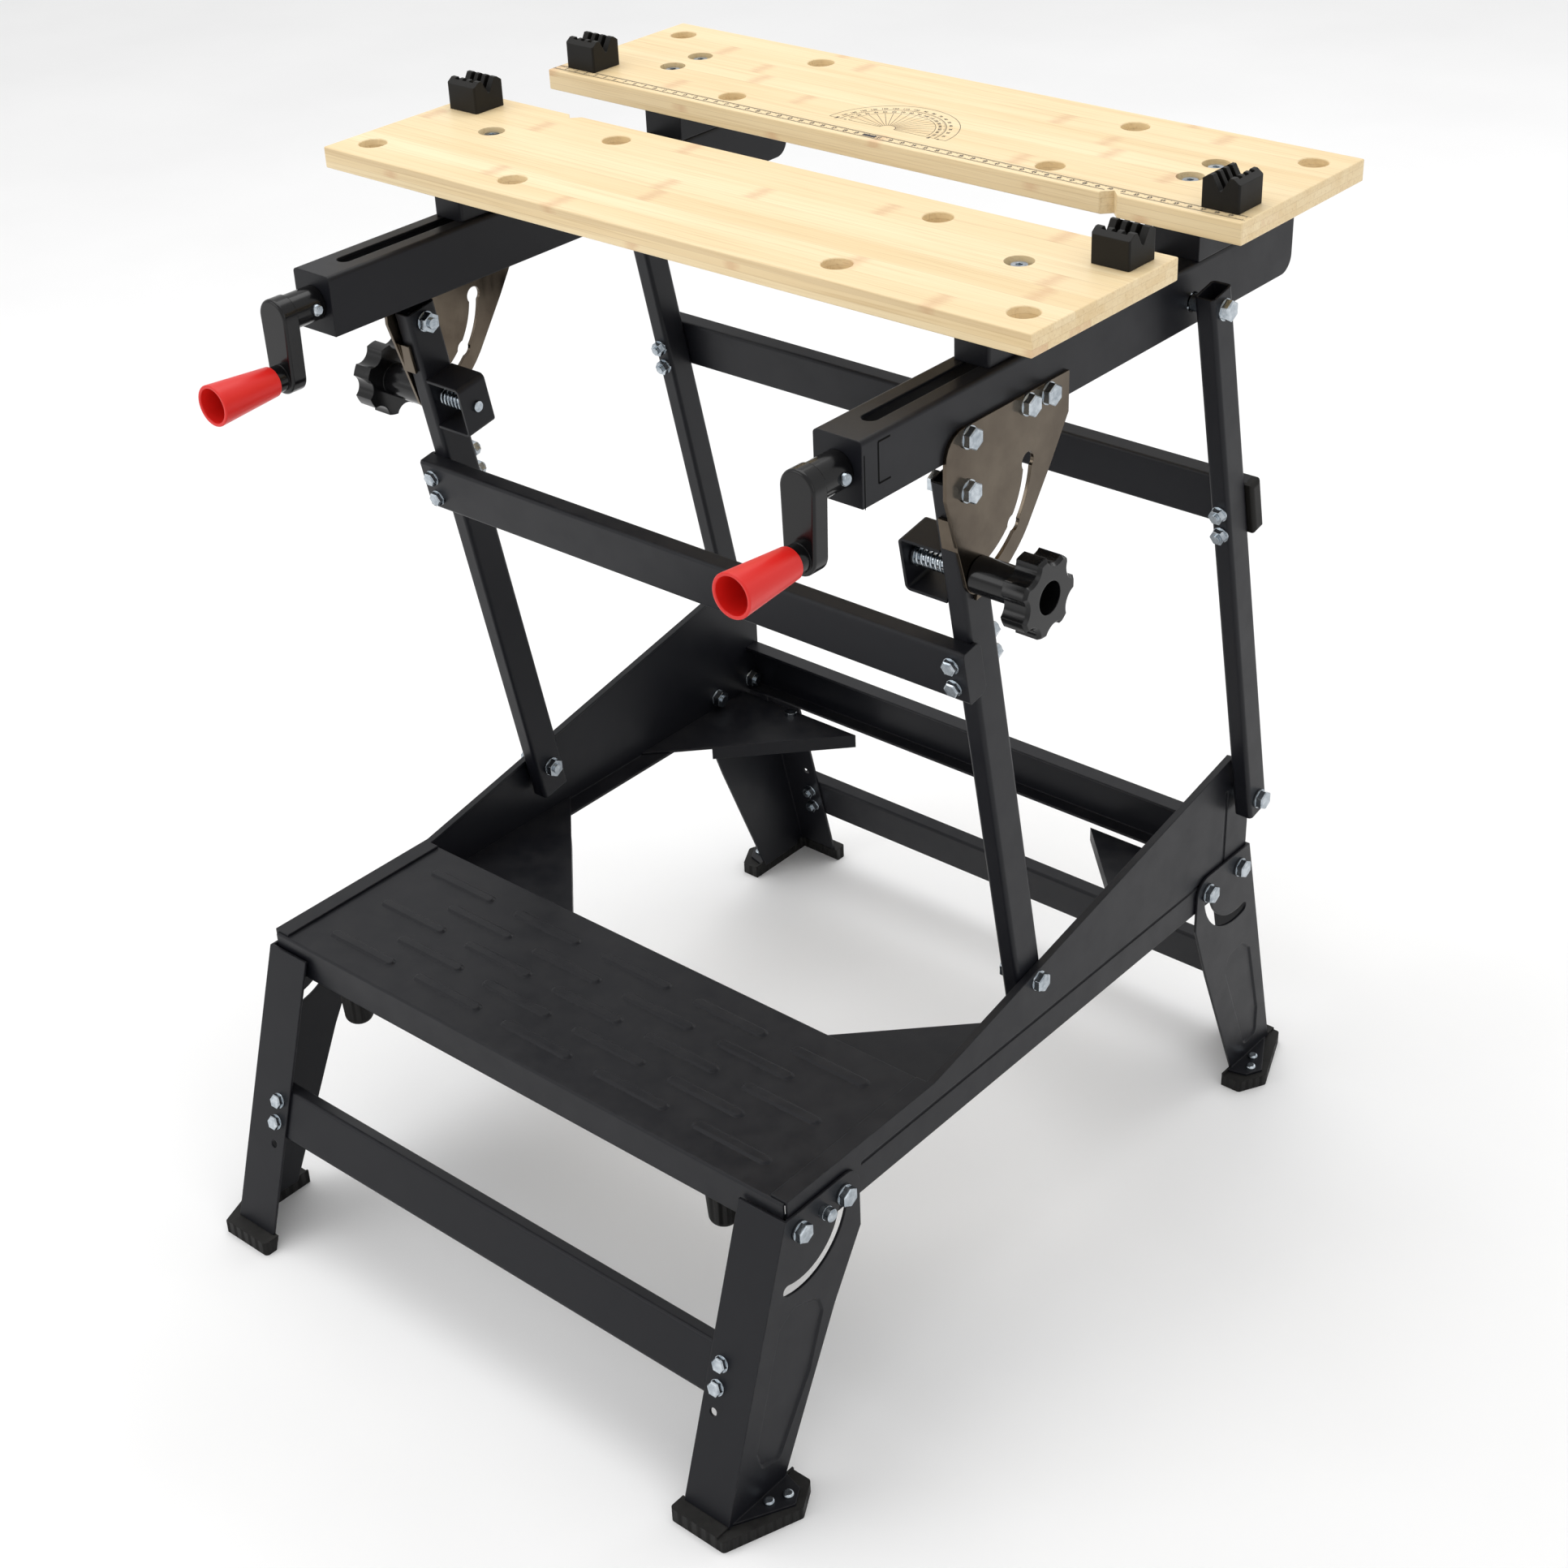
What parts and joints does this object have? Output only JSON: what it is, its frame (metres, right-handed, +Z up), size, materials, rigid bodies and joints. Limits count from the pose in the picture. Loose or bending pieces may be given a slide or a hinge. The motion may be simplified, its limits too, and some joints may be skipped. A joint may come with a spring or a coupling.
{
  "type": "work platform bench",
  "caption": "Folding workbench with clamping boards, crank spindles, bench dogs and a low ribbed platform; frame and legs fold for use at two heights.",
  "frame": {"origin": "centre of the footprint, on the floor", "axes": "+X to the bench's right, +Y to its back (away from the cranks), +Z up"},
  "size_m": [0.605, 0.704, 0.8041],
  "materials": {
    "bamboo": "satin lacquered bamboo strips",
    "powder_black": "satin black powder coat",
    "zinc": "bright zinc plate",
    "galvanised": "galvanised sheet",
    "black_plastic": "glossy moulded plastic",
    "dog_plastic": "matte moulded plastic",
    "red_plastic": "semi-gloss red plastic",
    "black_rubber": "ribbed black rubber",
    "spindle_steel": "bright steel",
    "nut_brass": "plain brass"
  },
  "bodies": {
    "base": {"side_panel_L": "powder_black", "side_panel_R": "powder_black", "platform": "powder_black", "rear_crossmember": "powder_black", "gussets_front": "powder_black", "gussets_rear": "powder_black", "bumpers": "black_rubber", "base_bolts": "zinc"},
    "front_posts": {"front_post_L": "powder_black", "front_post_R": "powder_black", "front_upper_bar": "powder_black", "lock_brackets": "powder_black", "front_post_bolts": "zinc"},
    "rear_posts": {"rear_post_L": "powder_black", "rear_post_R": "powder_black", "rear_upper_bar": "powder_black", "bar_end_caps": "dog_plastic", "rear_post_bolts": "zinc"},
    "top": {"rail_L": "powder_black", "rail_R": "powder_black", "rear_risers": "powder_black", "rear_board": "bamboo", "quadrant_plate_L": "galvanised", "quadrant_plate_R": "galvanised", "top_bolts": "zinc"},
    "jaw": {"front_board": "bamboo", "jaw_carrier_L": "powder_black", "jaw_carrier_R": "powder_black", "spindle_nuts": "nut_brass", "jaw_bolts": "zinc"},
    "front_legs": {"front_leg_L": "powder_black", "front_leg_R": "powder_black", "front_leg_bar": "powder_black", "front_feet": "black_rubber", "front_leg_bolts": "zinc"},
    "rear_legs": {"rear_leg_L": "powder_black", "rear_leg_R": "powder_black", "rear_leg_bar": "powder_black", "rear_feet": "black_rubber", "rear_leg_bolts": "zinc"},
    "crank_R": {"spindle_R": "spindle_steel", "crank_arm_R": "black_plastic", "crank_screws_R": "zinc"},
    "grip_R": {"grip_R": "red_plastic"},
    "dog_front_R": {"dog_front_R": "dog_plastic"},
    "dog_rear_R": {"dog_rear_R": "dog_plastic"},
    "lock_R": {"lock_knob_R": "black_plastic", "lock_stud_R": "zinc", "lock_spring_R": "zinc"},
    "plunger_R": {"leg_plunger_R": "zinc"},
    "crank_L": {"spindle_L": "spindle_steel", "crank_arm_L": "black_plastic", "crank_screws_L": "zinc"},
    "grip_L": {"grip_L": "red_plastic"},
    "dog_front_L": {"dog_front_L": "dog_plastic"},
    "dog_rear_L": {"dog_rear_L": "dog_plastic"},
    "lock_L": {"lock_knob_L": "black_plastic", "lock_stud_L": "zinc", "lock_spring_L": "zinc"},
    "plunger_L": {"leg_plunger_L": "zinc"}
  },
  "joints": [
    {"name": "fold", "type": "hinge", "parent": "base", "child": "front_posts", "pos_m": [0, 0.0087, 0.2595], "axis": [1, 0, 0], "range_deg": [0, 76]},
    {"name": "top_level", "type": "hinge", "parent": "front_posts", "child": "top", "pos_m": [0, -0.0686, 0.666], "axis": [1, 0, 0], "range_deg": [-76, 0]},
    {"name": "rear_fold", "type": "hinge", "parent": "base", "child": "rear_posts", "pos_m": [0, 0.2696, 0.2866], "axis": [1, 0, 0], "range_deg": [0, 74]},
    {"name": "jaw_slide", "type": "slide", "parent": "top", "child": "jaw", "axis": [0, 1, 0], "range_m": [-0.092, 0.0712]},
    {"name": "crank_turn_R", "type": "hinge", "parent": "top", "child": "crank_R", "pos_m": [0.228, -0.18, 0.711], "axis": [0, 1, 0], "continuous": true},
    {"name": "grip_spin_R", "type": "hinge", "parent": "crank_R", "child": "grip_R", "pos_m": [0.228, -0.23, 0.669], "axis": [0, 1, 0], "continuous": true},
    {"name": "dog_front_turn_R", "type": "hinge", "parent": "jaw", "child": "dog_front_R", "pos_m": [0.279, 0.0452, 0.79], "axis": [0, 0, 1], "continuous": true},
    {"name": "dog_rear_turn_R", "type": "hinge", "parent": "top", "child": "dog_rear_R", "pos_m": [0.279, 0.1667, 0.79], "axis": [0, 0, 1], "continuous": true},
    {"name": "lock_pull_R", "type": "slide", "parent": "front_posts", "child": "lock_R", "axis": [1, 0, 0], "range_m": [0, 0.012], "stiffness_N_per_m": 900, "springref_m": -0.012, "deforming": ["lock_spring_R"]},
    {"name": "leg_plunger_R", "type": "slide", "parent": "front_legs", "child": "plunger_R", "axis": [1, 0, 0], "range_m": [0, 0.003], "stiffness_N_per_m": 600, "springref_m": -0.004},
    {"name": "crank_turn_L", "type": "hinge", "parent": "top", "child": "crank_L", "pos_m": [-0.228, -0.18, 0.711], "axis": [0, 1, 0], "continuous": true},
    {"name": "grip_spin_L", "type": "hinge", "parent": "crank_L", "child": "grip_L", "pos_m": [-0.228, -0.23, 0.669], "axis": [0, 1, 0], "continuous": true},
    {"name": "dog_front_turn_L", "type": "hinge", "parent": "jaw", "child": "dog_front_L", "pos_m": [-0.279, 0.0452, 0.79], "axis": [0, 0, 1], "continuous": true},
    {"name": "dog_rear_turn_L", "type": "hinge", "parent": "top", "child": "dog_rear_L", "pos_m": [-0.279, 0.1667, 0.79], "axis": [0, 0, 1], "continuous": true},
    {"name": "lock_pull_L", "type": "slide", "parent": "front_posts", "child": "lock_L", "axis": [-1, 0, 0], "range_m": [0, 0.012], "stiffness_N_per_m": 900, "springref_m": -0.012, "deforming": ["lock_spring_L"]},
    {"name": "leg_plunger_L", "type": "slide", "parent": "front_legs", "child": "plunger_L", "axis": [-1, 0, 0], "range_m": [0, 0.003], "stiffness_N_per_m": 600, "springref_m": -0.004},
    {"name": "front_leg_fold", "type": "hinge", "parent": "base", "child": "front_legs", "pos_m": [0, -0.257, 0.215], "axis": [1, 0, 0], "range_deg": [0, 108]},
    {"name": "rear_leg_fold", "type": "hinge", "parent": "base", "child": "rear_legs", "pos_m": [0, 0.275, 0.215], "axis": [1, 0, 0], "range_deg": [-103.5, 0]}
  ],
  "couplings": [
    {"joint": "top_level", "follows": "fold", "ratio": -1},
    {"joint": "rear_fold", "follows": "fold", "ratio": 0.9608},
    {"joint": "crank_turn_R", "follows": "jaw_slide", "rad_per_m": 1570.8},
    {"joint": "crank_turn_L", "follows": "jaw_slide", "rad_per_m": 1570.8}
  ]
}
